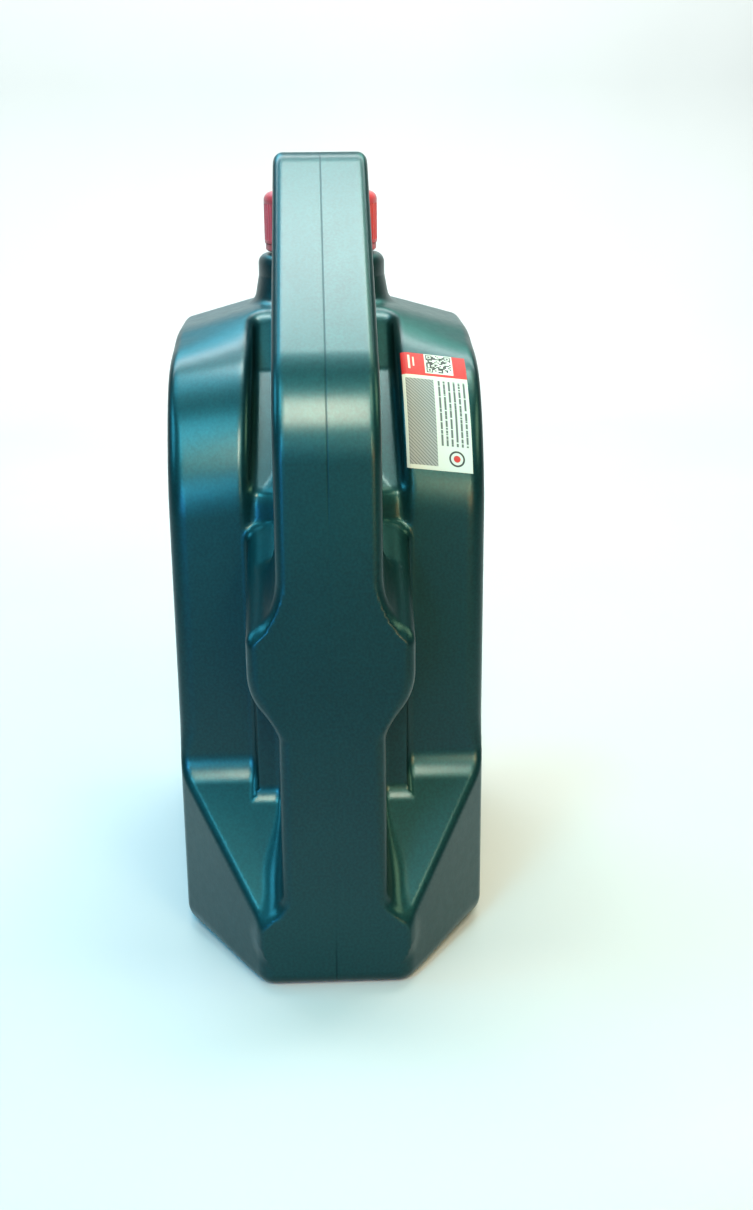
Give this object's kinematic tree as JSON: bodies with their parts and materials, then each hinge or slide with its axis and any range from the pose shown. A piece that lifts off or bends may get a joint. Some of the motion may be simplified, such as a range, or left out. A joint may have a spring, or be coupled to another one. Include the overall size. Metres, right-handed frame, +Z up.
{
  "type": "motor oil bottle",
  "caption": "Tall rectangular plastic oil jug with an open carrying handle at one end, a screw cap beside it and sloped foot facets.",
  "frame": {"origin": "centre of the footprint on the table", "axes": "+X from the neck towards the handle end, +Y through the depth towards the flank with the check sticker, +Z up"},
  "size_m": [0.2, 0.12, 0.303],
  "materials": {
    "bottle_plastic": "pearlescent satin teal HDPE",
    "cap_plastic": "satin red polypropylene",
    "ring_plastic": "satin red polypropylene",
    "liner_foam": "white foamed wad",
    "foil": "satin foil",
    "oil": "clear amber liquid",
    "label_film": "semi-gloss printed film",
    "sticker_paper": "semi-gloss printed paper"
  },
  "bodies": {
    "bottle": {"bottle": "bottle_plastic", "tamper_ring": "ring_plastic", "foil_seal": "foil", "oil_fill": "oil", "front_label": "label_film", "back_label": "label_film", "check_sticker": "sticker_paper"},
    "cap_liner": {"cap_liner": "liner_foam"},
    "cap": {"cap": "cap_plastic"}
  },
  "joints": [
    {"name": "cap_rise", "type": "slide", "parent": "bottle", "child": "cap_liner", "axis": [0, 0, 1], "range_m": [0, 0.024]},
    {"name": "cap_turn", "type": "hinge", "parent": "cap_liner", "child": "cap", "pos_m": [-0.045, 0, 0.28], "axis": [0, 0, 1], "range_deg": [0, 1440]}
  ],
  "couplings": [
    {"joint": "cap_rise", "follows": "cap_turn", "m_per_rad": 0.0009549}
  ]
}
